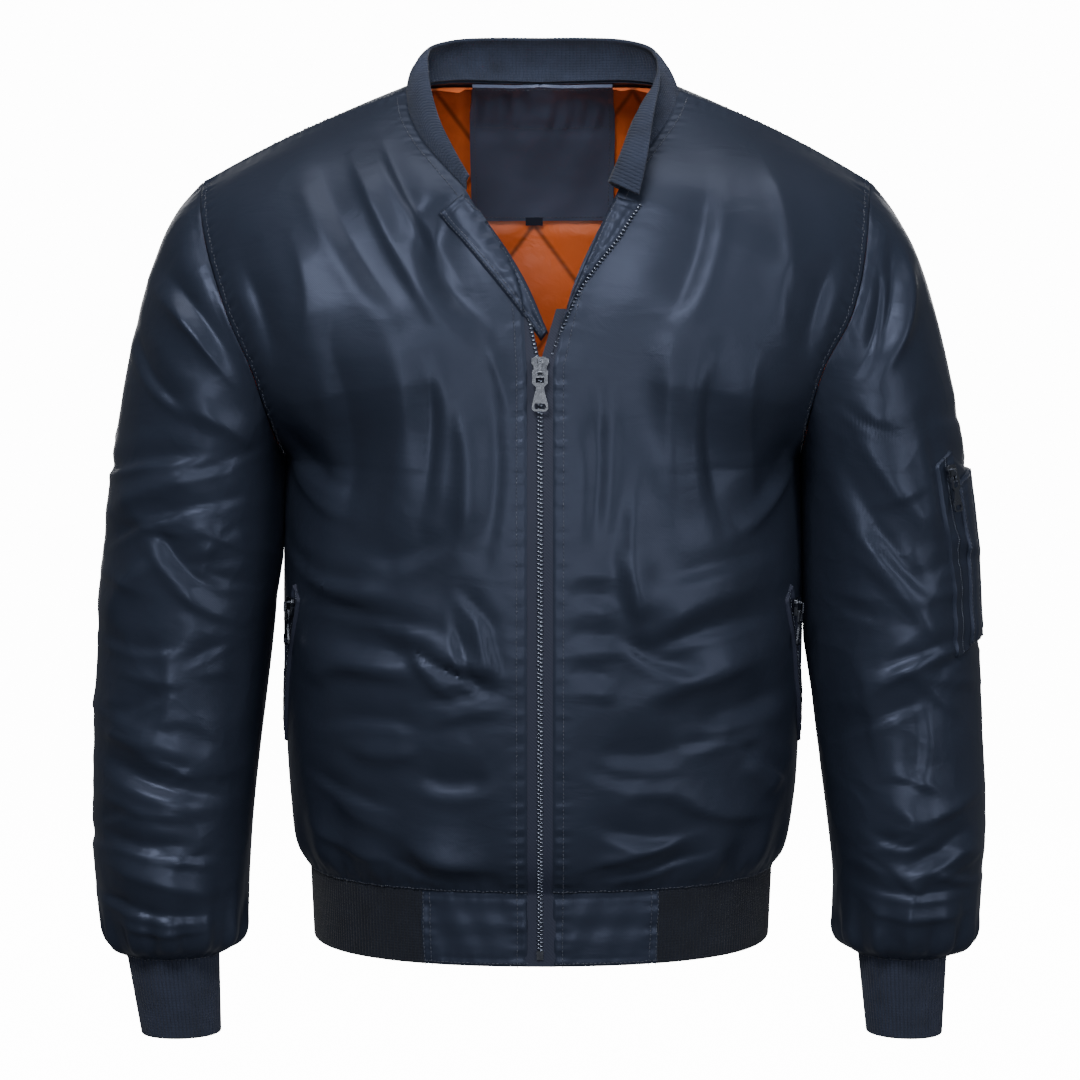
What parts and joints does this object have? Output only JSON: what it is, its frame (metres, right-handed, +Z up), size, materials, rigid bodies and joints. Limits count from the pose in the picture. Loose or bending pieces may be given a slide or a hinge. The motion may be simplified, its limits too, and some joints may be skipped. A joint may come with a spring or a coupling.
{
  "type": "bomber jacket",
  "caption": "Padded nylon bomber jacket in navy, filled out as if worn: rib collar, cuffs and hem, open neck over a quilted orange lining, front zip and zipped pockets.",
  "frame": {"origin": "middle of the neck opening, level with the neck ends of the shoulder seams, where the wearer's neck and shoulders carry the jacket", "axes": "+Z up, -Y towards the front with the zip, +X towards the wearer's left sleeve"},
  "size_m": [0.7138, 0.31, 0.7958],
  "materials": {
    "shell": "satin",
    "rib": "matte",
    "lining": "satin",
    "zip_tape": "matte",
    "zip_metal": "polished"
  },
  "bodies": {
    "jacket": {"front_left": "shell", "front_right": "shell", "back": "shell", "sleeve_left": "shell", "sleeve_right": "shell", "hem_panel_left": "shell", "hem_panel_right": "shell", "neck_facing": "shell", "size_tab": "shell", "wind_flap": "shell", "front_facing": "shell", "arm_pocket": "shell", "pen_patch": "shell", "collar": "rib", "cuff_left": "rib", "cuff_right": "rib", "hem_rib": "rib", "lining_front_left": "lining", "lining_front_right": "lining", "lining_back": "lining", "zip_tape_left": "zip_tape", "zip_tape_right": "zip_tape", "pocket_zip_left": "zip_tape", "pocket_zip_right": "zip_tape", "slider_main": "zip_metal", "slider_pocket_left": "zip_metal", "slider_pocket_right": "zip_metal", "slider_arm": "zip_metal"},
    "pull_main": {"pull_main": "zip_metal"},
    "pull_pocket_left": {"pull_pocket_left": "zip_metal"},
    "pull_pocket_right": {"pull_pocket_right": "zip_metal"},
    "pull_arm": {"pull_arm": "zip_metal"}
  },
  "joints": [
    {"name": "main_pull_swing", "type": "hinge", "parent": "jacket", "child": "pull_main", "pos_m": [0, -0.13823, -0.21094], "axis": [-1, 0, 0], "range_deg": [0, 150]},
    {"name": "left_pocket_pull_swing", "type": "hinge", "parent": "jacket", "child": "pull_pocket_left", "pos_m": [-0.19881, -0.05982, -0.40183], "axis": [-0.3884, 0.9215, 0], "range_deg": [0, 150]},
    {"name": "right_pocket_pull_swing", "type": "hinge", "parent": "jacket", "child": "pull_pocket_right", "pos_m": [0.20471, -0.06089, -0.4023], "axis": [-0.3582, -0.9337, 0], "range_deg": [0, 150]},
    {"name": "sleeve_pocket_pull_swing", "type": "hinge", "parent": "jacket", "child": "pull_arm", "pos_m": [0.32393, -0.06674, -0.29685], "axis": [-0.6494, -0.758, -0.0612], "range_deg": [0, 150]}
  ]
}
